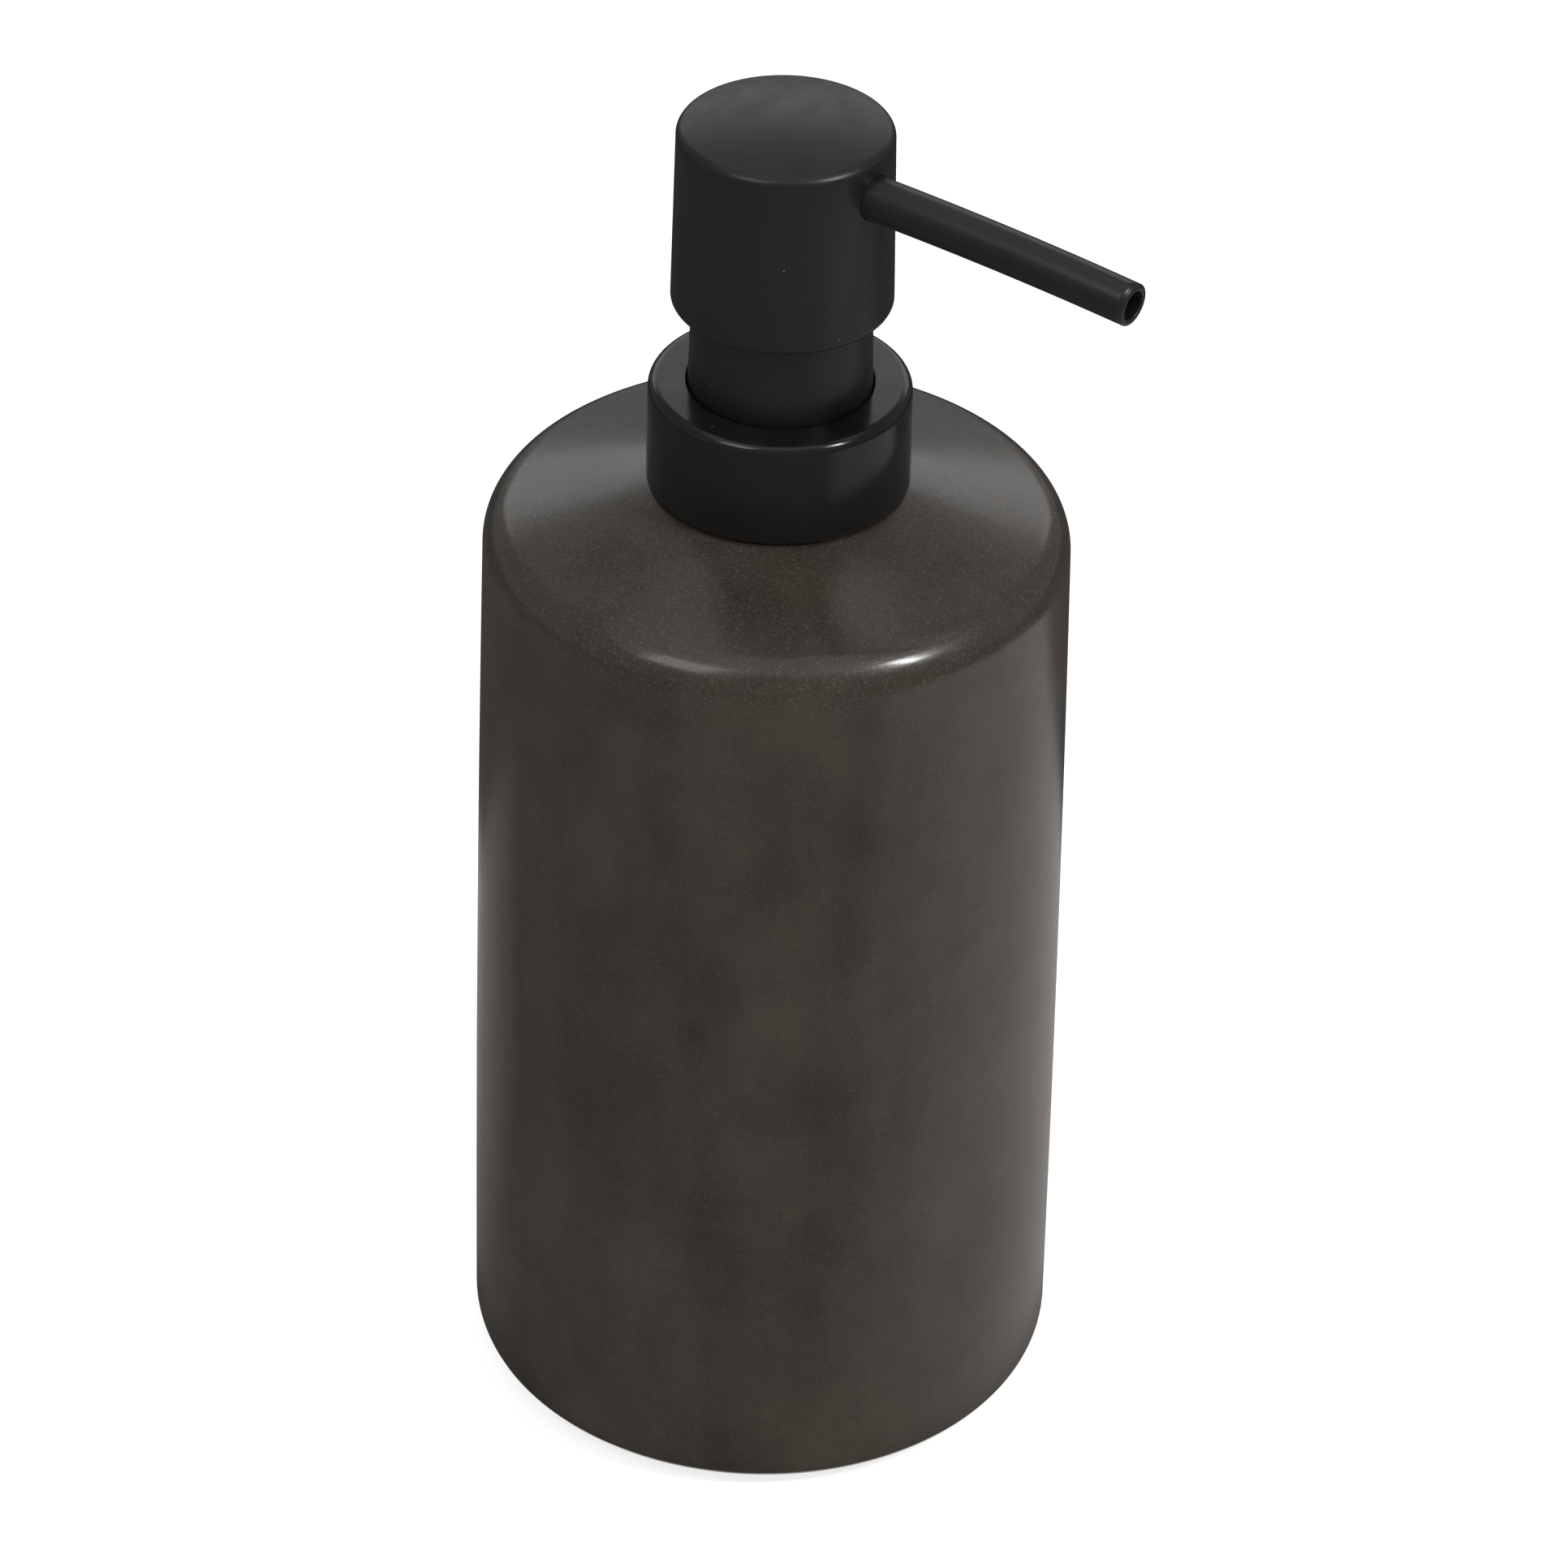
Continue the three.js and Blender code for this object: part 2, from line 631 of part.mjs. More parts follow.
function dipTubeShape() {
  const bottomZ = bottle.floor + dipTube.floorGap;
  const bore = dipTube.radius - dipTube.wall;
  const tube = ring(bore, dipTube.radius, bottomZ, socketTopZ - SEAT_GAP, COARSE_SEGMENTS);
  const size = 6 * dipTube.radius;
  const cutter = block(size, size, size, 0, 0, -size / 2).rotateY(dipTube.cutAngle);
  cutter.translate(0, 0, bottomZ + dipTube.radius * Math.tan(dipTube.cutAngle));
  return fromSolid(solid(tube).subtract(solid(cutter)));
}

function springShape() {
  const pitch = (springTopZ - springBottomZ - 2 * spring.wireRadius) / spring.coils;
  const startZ = springBottomZ + spring.wireRadius;
  const path = new Helix(spring.meanRadius, pitch, 0, spring.coils * FULL_TURN, startZ);
  const section = [];
  for (let i = 0; i < spring.wireSides; i += 1) {
    const angle = FULL_TURN * i / spring.wireSides;
    section.push([spring.wireRadius * Math.cos(angle), spring.wireRadius * Math.sin(angle)]);
  }
  return merged(swept(section, path, spring.coils * spring.stepsPerCoil));
}

// ---------------------------------------------------------------- plunger
function valveStemShape() {
  const flangeBottomZ = valveFlangeTopZ - valveStem.flangeThickness;
  const topZ = stemBottomZ + stem.counterboreDepth - valveStem.topGap;
  const spigotRadius = spring.meanRadius - spring.wireRadius - valveStem.spigotGap;
  const flangeRadius = spring.meanRadius + spring.wireRadius + valveStem.flangeMargin;
  const body = turned([
    [0, flangeBottomZ - valveStem.spigotLength],
    [spigotRadius, flangeBottomZ - valveStem.spigotLength],
    [spigotRadius, flangeBottomZ],
    [flangeRadius, flangeBottomZ],
    [flangeRadius, flangeBottomZ + valveStem.endWall],
    [valveStem.radius, valveFlangeTopZ],
    [valveStem.radius, topZ],
    [valveStem.bore, topZ],
    [valveStem.bore, valveFlangeTopZ],
    [0, valveFlangeTopZ],
  ]);
  const portZ = pistonBottomZ + valveStem.portRadius + valveStem.portLift;
  const reach = 2 * valveStem.radius;
  const port = rodAlongX(valveStem.portRadius, -reach, reach, portZ, HOLE_SEGMENTS);
  return fromSolid(solid(body).subtract(solid(port)));
}

function pistonShape() {
  const hubBore = valveStem.radius + RUN_CLEARANCE;
  const hubRadius = hubBore + piston.hubWall;
  const lipRadius = housing.cylinderBore - RUN_CLEARANCE;
  const skirtBore = lipRadius - piston.skirtWall;
  const waistRadius = lipRadius - piston.waist;
  const lipInnerRadius = lipRadius - piston.lipWidth;
  const lowerLipZ = pistonBottomZ + piston.lipSetback;
  const upperLipZ = pistonTopZ - piston.lipSetback;
  const midZ = (pistonTopZ + pistonBottomZ) / 2;
  const webBottom = midZ - piston.web / 2;
  const webTop = midZ + piston.web / 2;
  return turned([
    [hubBore, pistonBottomZ],
    [hubRadius, pistonBottomZ],
    [hubRadius, webBottom],
    [skirtBore, webBottom],
    [lipInnerRadius, lowerLipZ],
    [lipRadius, lowerLipZ],
    [waistRadius, webBottom],
    [waistRadius, webTop],
    [lipRadius, upperLipZ],
    [lipInnerRadius, upperLipZ],
    [skirtBore, webTop],
    [hubRadius, webTop],
    [hubRadius, pistonTopZ],
    [hubBore, pistonTopZ],
  ]);
}

function stemShape() {
  const counterboreTop = stemBottomZ + stem.counterboreDepth;
  return turned([
    [counterboreRadius, stemBottomZ],
    [stemRadius, stemBottomZ],
    [stemRadius, stemTopZ],
    [stem.bore, stemTopZ],
    [stem.bore, counterboreTop],
    [counterboreRadius, counterboreTop],
  ], COARSE_SEGMENTS);
}

// ---------------------------------------------------------------- pump head
function shellOuterRadius(z) {
  return headBottomRadius - head.taper * (z - headBottomZ) / (headBodyTopZ - headBottomZ);
}

function headShellShape() {
  const rimCentre = headTopRadius - head.rimRound;
  const domeRadius = (rimCentre ** 2 + head.domeRise ** 2) / (2 * head.domeRise);
  const rimTurn = Math.PI / 2 - Math.asin(rimCentre / domeRadius);
  const lip = head.lipRound;
  const outline = arc(headBottomRadius - lip, headBottomZ + lip, lip, -Math.PI / 2, 0, 2);
  outline.push(...arc(rimCentre, headBodyTopZ, head.rimRound, 0, rimTurn, 4));
  const rimEnd = outline[outline.length - 1];
  const domeSteps = 3;
  for (let i = 1; i <= domeSteps; i += 1) {
    const radius = rimEnd[0] * (1 - i / domeSteps);
    const rise = head.domeRise * (1 - (radius / rimEnd[0]) ** 2);
    outline.push([radius, rimEnd[1] + (headTopZ - rimEnd[1]) * rise / head.domeRise]);
  }
  const boreTop = shellOuterRadius(headCeilingZ) - head.wall;
  outline.push([0, headCeilingZ], [boreTop - head.innerRound, headCeilingZ]);
  outline.push([boreTop, headCeilingZ - head.innerRound]);
  outline.push([headBottomRadius - head.wall, headBottomZ]);
  const firstOnAxis = outline.findIndex(([radius]) => radius === 0);
  const ordered = [...outline.slice(firstOnAxis + 1), ...outline.slice(0, firstOnAxis + 1)];
  const body = solid(turned(ordered, FINE_SEGMENTS));
  const hole = rodAlongX(spout.rootRadius + spout.holeClearance, 0, 2 * headBottomRadius, spoutZ);
  return fromSolid(body.subtract(solid(hole)));
}

function actuatorCoreShape() {
  const topZ = headCeilingZ - core.roofGap;
  const stemSocket = stemRadius + PRESS_CLEARANCE;
  const spoutSocket = spout.rootRadius + PRESS_CLEARANCE;
  const plateRadius = shellOuterRadius(plateZ) - head.wall - core.plateGap;
  const armReach = shellOuterRadius(headBodyTopZ) - head.wall - core.armGap;
  const armBottomZ = spoutZ - spoutSocket - core.armWall;
  const armWidth = 2 * (spoutSocket + core.armWall);
  const armBlock = block(armReach, armWidth, topZ - armBottomZ, armReach / 2, 0, (topZ + armBottomZ) / 2);
  const arm = solid(armBlock).intersect(solid(rod(armReach, armBottomZ - CUT_OVERRUN, topZ + CUT_OVERRUN)));
  const column = solid(rod(stemSocket + core.columnWall, columnBottomZ, topZ));
  const plate = solid(rod(plateRadius, plateZ, plateZ + core.plateThickness));
  const spoutInnerX = spoutInnerEnd() - SEAT_GAP;
  const cuts = [
    rod(stemSocket, columnBottomZ - CUT_OVERRUN, stemTopZ + SEAT_GAP, COARSE_SEGMENTS),
    rod(core.passage, stemTopZ - CUT_OVERRUN, spoutZ, COARSE_SEGMENTS),
    rodAlongX(spout.boreRadius, 0, spoutInnerX + CUT_OVERRUN, spoutZ),
    rodAlongX(spoutSocket, spoutInnerX, 2 * armReach, spoutZ),
  ];
  let body = column.add(plate).add(arm);
  for (const cut of cuts) body = body.subtract(solid(cut));
  return fromSolid(body);
}

function spoutInnerEnd() {
  return shellOuterRadius(spoutZ) - spout.insertion;
}

// A tapered tube turned about its own axis, then bent into an arc that starts at the head's surface.
function spoutShape() {
  const innerEnd = spoutInnerEnd();
  const bendStart = shellOuterRadius(spoutZ);
  const length = spout.reach - innerEnd;
  const radiusAt = (along) => {
    const t = Math.max(0, along + innerEnd - bendStart) / (spout.reach - bendStart);
    return spout.rootRadius + (spout.tipRadius - spout.rootRadius) * t;
  };
  const points = [[spout.boreRadius, 0]];
  for (let i = 0; i < spout.steps; i += 1) {
    const along = length * i / spout.steps;
    points.push([radiusAt(along), along]);
  }
  const lip = spout.lipRound;
  points.push(...arc(spout.tipRadius - lip, length - lip, lip, 0, Math.PI / 2, 2));
  points.push([spout.boreRadius, length]);
  for (let i = spout.steps - 1; i > 0; i -= 1) points.push([spout.boreRadius, length * i / spout.steps]);
  const tube = turned(points, COARSE_SEGMENTS).rotateY(Math.PI / 2).translate(innerEnd, 0, 0);
  const bendRadius = (spout.reach - bendStart) / spout.bend;
  const position = tube.attributes.position;
  for (let i = 0; i < position.count; i += 1) {
    const beyond = Math.max(0, position.getX(i) - bendStart);
    const angle = beyond / bendRadius;
    const fromCentre = bendRadius + position.getZ(i);
    if (beyond > 0) {
      position.setX(i, bendStart + fromCentre * Math.sin(angle));
      position.setZ(i, fromCentre * Math.cos(angle) - bendRadius);
    }
  }
  return tube.translate(0, 0, spoutZ);
}

// ---------------------------------------------------------------- assembly
function piece(name, geometry, look) {
  const mesh = new THREE.Mesh(geometry, look);
  mesh.name = name;
  return mesh;
}

function assembly(...members) {
  const group = new THREE.Group();
  group.add(...members);
  return group;
}

const vessel = assembly(
  piece('bottle', bottleShape(), finish.glaze),
  piece('insert_bond', insertBondShape(), finish.adhesive),
  piece('neck_insert', neckInsertShape(), finish.naturalPlastic),
  piece('gasket', gasketShape(), finish.sealRubber),
);

const screwClosure = assembly(
  piece('closure_cap', closureCapShape(), finish.glossBlack),
  piece('collar_sleeve', collarSleeveShape(), finish.glossBlack),
);

const engine = assembly(
  piece('guide_sleeve', guideSleeveShape(), finish.satinBlack),
  piece('retaining_bush', retainingBushShape(), finish.naturalPlastic),
  piece('stem_seal', stemSealShape(), finish.sealRubber),
  piece('housing', housingShape(), finish.naturalPlastic),
  piece('ball_cage', ballCageShape(), finish.naturalPlastic),
  piece('inlet_ball', inletBallShape(), finish.steel),
  piece('dip_tube', dipTubeShape(), finish.clearTube),
  piece('spring', springShape(), finish.steel),
);

const plunger = assembly(
  piece('valve_stem', valveStemShape(), finish.naturalPlastic),
  piece('piston', pistonShape(), finish.clearTube),
);

const pumpHead = assembly(
  piece('stem', stemShape(), finish.satinBlack),
  piece('actuator_core', actuatorCoreShape(), finish.satinBlack),
  piece('head_shell', headShellShape(), finish.satinBlack),
  piece('spout', spoutShape(), finish.satinBlack),
);

export default assembly(vessel, screwClosure, engine, plunger, pumpHead);
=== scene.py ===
"""Soap pump dispenser: the looks of its glazed bottle and black pump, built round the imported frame."""

import json
import math

import bmesh
import bpy
import numpy as np
from mathutils import Matrix, Vector


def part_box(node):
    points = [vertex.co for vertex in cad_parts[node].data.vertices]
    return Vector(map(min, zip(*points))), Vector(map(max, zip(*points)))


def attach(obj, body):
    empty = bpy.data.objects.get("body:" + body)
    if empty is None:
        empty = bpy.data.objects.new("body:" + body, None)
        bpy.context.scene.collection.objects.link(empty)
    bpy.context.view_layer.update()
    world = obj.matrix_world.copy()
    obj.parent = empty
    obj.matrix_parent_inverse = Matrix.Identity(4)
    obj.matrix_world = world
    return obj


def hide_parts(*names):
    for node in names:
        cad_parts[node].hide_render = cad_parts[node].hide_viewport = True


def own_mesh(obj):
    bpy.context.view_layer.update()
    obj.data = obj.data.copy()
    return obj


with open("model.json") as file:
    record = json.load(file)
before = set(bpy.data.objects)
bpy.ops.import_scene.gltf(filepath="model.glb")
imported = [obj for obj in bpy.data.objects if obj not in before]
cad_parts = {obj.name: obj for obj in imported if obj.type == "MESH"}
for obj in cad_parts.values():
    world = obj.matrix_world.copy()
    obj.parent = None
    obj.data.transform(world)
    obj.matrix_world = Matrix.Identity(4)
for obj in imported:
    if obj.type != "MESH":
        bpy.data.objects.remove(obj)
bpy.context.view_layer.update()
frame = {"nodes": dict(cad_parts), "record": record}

MM = 0.001
FULL_TURN = 2 * math.pi
QUARTER = math.pi / 2


# ------------------------------------------------------------------ sizes
def outer_radius(node):
    """Half a round node's width along X, in millimetres."""
    low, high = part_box(node)
    return (high.x - low.x) / 2 / MM


def heights(node):
    """A node's lowest and highest Z, in millimetres."""
    low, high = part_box(node)
    return low.z / MM, high.z / MM


BOTTLE_TOP_RADIUS = 36.1
BOTTLE_BULGE = 0.25
BOTTLE_WALL = 3.6
BOTTLE_FLOOR = 4.5
BOTTLE_ROOF = 4.2
BASE_ROUND = 5.0
WALL_TOP = 121.4
SHOULDER_ROUND = 5.0
SHOULDER_SLOPE = math.radians(16.2)
LAND_RADIUS = 15.2
MOUTH_RADIUS = 12.4
BOTTLE_INNER_ROUND = 4.0
FOOT_RADIUS = 30.5
FOOT_STEP = 0.25

COLLAR_TOP_RADIUS = 16.05
COLLAR_EDGE = 1.2
COLLAR_WALL = 1.1
COLLAR_TOP = 0.8
COLLAR_HOLE = 11.39

GUIDE_BASE_RADIUS = 11.25
GUIDE_TOP_RADIUS = 10.9
GUIDE_WALL = 1.25
GUIDE_FLANGE = 0.8

HEAD_TOP_RADIUS = 13.05
HEAD_WALL = 1.7
HEAD_DOME = 1.0
HEAD_RIM = 1.2
HEAD_LIP = 0.9
HEAD_ROOF = 1.9
HEAD_CEILING_ROUND = 1.5

SPOUT_ROOT_RADIUS = 2.75
SPOUT_TIP_RADIUS = 2.65
SPOUT_BORE = 1.8
SPOUT_DROP = 6.2
SPOUT_REACH = 49.4
SPOUT_BEND = math.radians(4)
SPOUT_LIP = 0.35
SPOUT_HOLE_GAP = 0.08


# ------------------------------------------------------------------ profiles
def arc(centre, radius, start, end, steps=12):
    """Points at equal turns from start to end on a circle: centre plus radius times cosine and sine."""
    turn = np.linspace(start, end, steps + 1)
    return np.stack([centre[0] + radius * np.cos(turn), centre[1] + radius * np.sin(turn)], -1)


def line(start, end, steps=1):
    """Points from start to end, crowded towards both ends by a smooth step so that shading stays crisp."""
    t = np.linspace(0, 1, steps + 1)
    t = t * t * (3 - 2 * t)
    return np.outer(1 - t, start) + np.outer(t, end)


def joined(*runs):
    """One profile from several runs of points, without the points that repeat."""
    points = np.vstack([np.atleast_2d(run) for run in runs])
    step = np.linalg.norm(np.diff(points, axis=0), axis=1)
    return points[np.append(True, step > 1e-5)]


# ------------------------------------------------------------------ surfaces
def weld(obj):
    """Merges the vertices that meet at seams and poles."""
    shape = bmesh.new()
    shape.from_mesh(obj.data)
    bmesh.ops.remove_doubles(shape, verts=shape.verts, dist=1e-7)
    bmesh.ops.dissolve_degenerate(shape, edges=shape.edges, dist=1e-7)
    shape.to_mesh(obj.data)
    shape.free()


def surface(name, points, closed_rows, closed_columns):
    """A mesh from a grid of points (rows, columns, 3) in millimetres, with a quad between four neighbours."""
    rows, columns = points.shape[:2]
    row = np.arange(rows if closed_rows else rows - 1)
    column = np.arange(columns if closed_columns else columns - 1)
    r, c = np.meshgrid(row, column, indexing="ij")
    r_next = (r + 1) % rows
    c_next = (c + 1) % columns
    corners = [r * columns + c, r_next * columns + c, r_next * columns + c_next, r * columns + c_next]
    quads = np.stack(corners, -1).reshape(-1, 4)
    mesh = bpy.data.meshes.new(name)
    mesh.vertices.add(rows * columns)
    mesh.vertices.foreach_set("co", (points * MM).reshape(-1).astype(np.float32))
    mesh.loops.add(quads.size)
    mesh.loops.foreach_set("vertex_index", quads.reshape(-1).astype(np.int32))
    mesh.polygons.add(len(quads))
    mesh.polygons.foreach_set("loop_start", np.arange(0, quads.size, 4, dtype=np.int32))
    mesh.update(calc_edges=True)
    mesh.validate()
    obj = bpy.data.objects.new(name, mesh)
    bpy.context.scene.collection.objects.link(obj)
    weld(obj)
    obj.data.shade_smooth()
    return obj


def revolved(name, profile, segments=192, closed=True):
    """A surface of revolution: profile point (r, z) at turn a goes to (r cos a, r sin a, z)."""
    turn = np.linspace(0, FULL_TURN, segments, endpoint=False)[:, None]
    radius = profile[None, :, 0]
    height = np.broadcast_to(profile[None, :, 1], (segments, len(profile)))
    points = np.stack([radius * np.cos(turn), radius * np.sin(turn), height], -1)
    return surface(name, points, True, closed)


# ------------------------------------------------------------------ the bottle
def bottle_wall(steps):
    """The wall's outline: a straight taper from base to shoulder, bowed outwards by a parabola."""
    base_radius = outer_radius("bottle")
    t = np.linspace(0, 1, steps + 1)
    radius = base_radius + (BOTTLE_TOP_RADIUS - base_radius) * t + BOTTLE_BULGE * 4 * t * (1 - t)
    return np.stack([radius, BASE_ROUND + (WALL_TOP - BASE_ROUND) * t], -1)


def glazed_bottle():
    """The stoneware vessel, turned from one closed outline: foot, wall, shoulder, mouth and inside."""
    base_radius = outer_radius("bottle")
    mouth_z = heights("bottle")[1]
    turn = QUARTER - SHOULDER_SLOPE
    foot = joined(
        [[0, 0]],
        line((0.5, 0), (FOOT_RADIUS - 1, 0), 10),
        line((FOOT_RADIUS - 0.6, FOOT_STEP), (FOOT_RADIUS, FOOT_STEP), 1),
        line((FOOT_RADIUS + 0.4, 0), (base_radius - BASE_ROUND, 0), 3),
    )
    base = arc((base_radius - BASE_ROUND, BASE_ROUND), BASE_ROUND, -QUARTER, 0, 16)
    shoulder = arc((BOTTLE_TOP_RADIUS - SHOULDER_ROUND, WALL_TOP), SHOULDER_ROUND, 0, turn, 20)
    lip = 0.4
    land = arc((MOUTH_RADIUS + lip, mouth_z - lip), lip, QUARTER, 2 * QUARTER, 5)
    slope_end = (LAND_RADIUS + 0.6, mouth_z - 0.6 * math.tan(SHOULDER_SLOPE))
    outer = joined(foot, base, bottle_wall(40), shoulder, line(shoulder[-1], slope_end, 24),
                   line((LAND_RADIUS, mouth_z), land[0], 3), land)
    roof_z = mouth_z - BOTTLE_ROOF
    inner_top = BOTTLE_TOP_RADIUS - BOTTLE_WALL
    corner_z = roof_z - (inner_top - BOTTLE_INNER_ROUND - MOUTH_RADIUS) * math.tan(SHOULDER_SLOPE)
    inner_wall = bottle_wall(20)[::-1] - np.array([BOTTLE_WALL, 0])
    inner_base = base_radius - BOTTLE_WALL
    inner_flat = inner_base - BOTTLE_INNER_ROUND
    base_corner = (inner_flat, BOTTLE_FLOOR + BOTTLE_INNER_ROUND)
    inner = joined(
        line((MOUTH_RADIUS, mouth_z - lip), (MOUTH_RADIUS, roof_z), 4),
        arc((inner_top - BOTTLE_INNER_ROUND, corner_z - BOTTLE_INNER_ROUND), BOTTLE_INNER_ROUND, turn, 0, 8),
        inner_wall[1:-1],
        arc(base_corner, BOTTLE_INNER_ROUND, 0, -QUARTER, 8),
        line((inner_flat, BOTTLE_FLOOR), (0, BOTTLE_FLOOR), 6),
    )
    return revolved("glazed_bottle", joined(outer, inner), 256, closed=False)


# ------------------------------------------------------------------ the closure and guide
def black_collar():
    """The closure's visible sleeve: a plain drum with a rounded top edge and a hole for the guide."""
    bottom_z, top_z = heights("collar_sleeve")
    bottom_radius = outer_radius("collar_sleeve")
    bore = bottom_radius - COLLAR_WALL
    inner_top = top_z - COLLAR_TOP
    hem = 0.25
    profile = joined(
        line((bore, bottom_z + 0.2), (bore + 0.2, bottom_z), 2),
        line((bore + 0.3, bottom_z), (bottom_radius - hem, bottom_z), 2),
        arc((bottom_radius - hem, bottom_z + hem), hem, -QUARTER, 0, 4),
        line((bottom_radius, bottom_z + hem + 0.1), (COLLAR_TOP_RADIUS, top_z - COLLAR_EDGE - 0.1), 8),
        arc((COLLAR_TOP_RADIUS - COLLAR_EDGE, top_z - COLLAR_EDGE), COLLAR_EDGE, 0, QUARTER, 14),
        line((COLLAR_TOP_RADIUS - COLLAR_EDGE - 0.1, top_z), (COLLAR_HOLE + 0.3, top_z), 4),
        arc((COLLAR_HOLE + 0.2, top_z - 0.2), 0.2, QUARTER, 2 * QUARTER, 4),
        line((COLLAR_HOLE, top_z - 0.3), (COLLAR_HOLE, inner_top), 1),
        line((COLLAR_HOLE + 0.1, inner_top), (bore - 0.1, inner_top), 2),
        line((bore, inner_top - 0.1), (bore, bottom_z + 0.3), 4),
    )
    return revolved("black_collar", profile, 192)


def guide_tube():
    """The fixed sleeve that the head slides over, with its hidden flange and a rounded upper lip."""
    bottom_z, top_z = heights("guide_sleeve")
    flange_radius = outer_radius("guide_sleeve")
    flange_top = bottom_z + GUIDE_FLANGE
    lip = 0.5
    bore_base = GUIDE_BASE_RADIUS - GUIDE_WALL
    bore_top = GUIDE_TOP_RADIUS - GUIDE_WALL
    profile = joined(
        line((bore_base, bottom_z), (flange_radius, bottom_z), 3),
        line((flange_radius, bottom_z + 0.1), (flange_radius, flange_top - 0.1), 1),
        line((flange_radius - 0.1, flange_top), (GUIDE_BASE_RADIUS + 0.1, flange_top), 1),
        line((GUIDE_BASE_RADIUS, flange_top + 0.1), (GUIDE_TOP_RADIUS, top_z - lip), 16),
        arc((GUIDE_TOP_RADIUS - lip, top_z - lip), lip, 0, QUARTER, 5),
        line((GUIDE_TOP_RADIUS - lip - 0.05, top_z), (bore_top + 0.1, top_z), 1),
        line((bore_top, top_z - 0.1), (bore_base, bottom_z + 0.1), 8),
    )
    return revolved("guide_tube", profile, 192)


# ------------------------------------------------------------------ the head and spout
def head_outer_radius(z):
    """The head's gentle taper: its outer radius at a height."""
    bottom_z, top_z = heights("head_shell")
    body_top = top_z - HEAD_DOME - HEAD_RIM
    t = (z - bottom_z) / (body_top - bottom_z)
    return outer_radius("head_shell") + (HEAD_TOP_RADIUS - outer_radius("head_shell")) * t


def head_cap():
    """The press-down cap: a cup with a shallow domed top, a rounded rim and a rounded lower lip."""
    bottom_z, top_z = heights("head_shell")
    bottom_radius = outer_radius("head_shell")
    body_top = top_z - HEAD_DOME - HEAD_RIM
    rim_centre = HEAD_TOP_RADIUS - HEAD_RIM
    dome_radius = (rim_centre**2 + HEAD_DOME**2) / (2 * HEAD_DOME)
    rim_turn = QUARTER - math.asin(rim_centre / dome_radius)
    lip = arc((bottom_radius - HEAD_LIP, bottom_z + HEAD_LIP), HEAD_LIP, -QUARTER, 0, 10)
    rim = arc((rim_centre, body_top), HEAD_RIM, 0, rim_turn, 18)
    share = np.linspace(0.97, 0, 30)
    dome_rise = top_z - rim[-1, 1]
    dome = np.stack([rim[-1, 0] * share, rim[-1, 1] + dome_rise * (1 - share**2)], -1)
    ceiling = top_z - HEAD_ROOF
    bore_top = head_outer_radius(ceiling) - HEAD_WALL
    bore_bottom = bottom_radius - HEAD_WALL
    corner_radius = bore_top - HEAD_CEILING_ROUND
    inside = joined(
        line((0, ceiling), (corner_radius, ceiling), 6),
        arc((corner_radius, ceiling - HEAD_CEILING_ROUND), HEAD_CEILING_ROUND, QUARTER, 0, 6),
        line((bore_top, ceiling - HEAD_CEILING_ROUND - 0.1), (bore_bottom, bottom_z + 0.2), 10),
        line((bore_bottom + 0.15, bottom_z), lip[0], 2),
    )
    side = line((bottom_radius, bottom_z + HEAD_LIP + 0.1), (HEAD_TOP_RADIUS, body_top - 0.1), 16)
    outside = joined(lip, side, rim, dome)
    return revolved("head_cap", joined(inside, outside), 192, closed=False)


def spout_path(along):
    """Centre line and downward turn: straight inside the head, then a circular arc turning by SPOUT_BEND."""
    spout_z = heights("head_shell")[1] - SPOUT_DROP
    bend_start = head_outer_radius(spout_z)
    bend_radius = (SPOUT_REACH - bend_start) / SPOUT_BEND
    turn = np.maximum(0, along - bend_start) / bend_radius
    x = np.where(turn > 0, bend_start + bend_radius * np.sin(turn), along)
    z = spout_z - bend_radius * (1 - np.cos(turn))
    return x, z, turn


def spout_tube():
    """The spout: a tapered tube with a bore, its section carried square to the bent centre line."""
    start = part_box("spout")[0].x / MM
    spout_z = heights("head_shell")[1] - SPOUT_DROP
    bend_start = head_outer_radius(spout_z)
    along = np.linspace(start, SPOUT_REACH - SPOUT_LIP, 60)
    taper = np.clip((along - bend_start) / (SPOUT_REACH - bend_start), 0, 1)
    outer = np.stack([along, SPOUT_ROOT_RADIUS + (SPOUT_TIP_RADIUS - SPOUT_ROOT_RADIUS) * taper], -1)
    lip = arc((SPOUT_REACH - SPOUT_LIP, SPOUT_TIP_RADIUS - SPOUT_LIP), SPOUT_LIP, QUARTER, 0, 6)
    mouth = arc((SPOUT_REACH - 0.2, SPOUT_BORE + 0.2), 0.2, 0, -QUARTER, 4)
    inner = np.stack([along[::-1], np.full_like(along, SPOUT_BORE)], -1)
    section = joined(outer, lip, mouth, inner)
    x, z, turn = spout_path(section[:, 0])
    around = np.linspace(0, FULL_TURN, 64, endpoint=False)[:, None]
    across = section[None, :, 1] * np.sin(around)
    above = section[None, :, 1] * np.cos(around)
    points = np.stack([x + above * np.sin(turn), across, z + above * np.cos(turn)], -1)
    return surface("spout_tube", points, True, True)


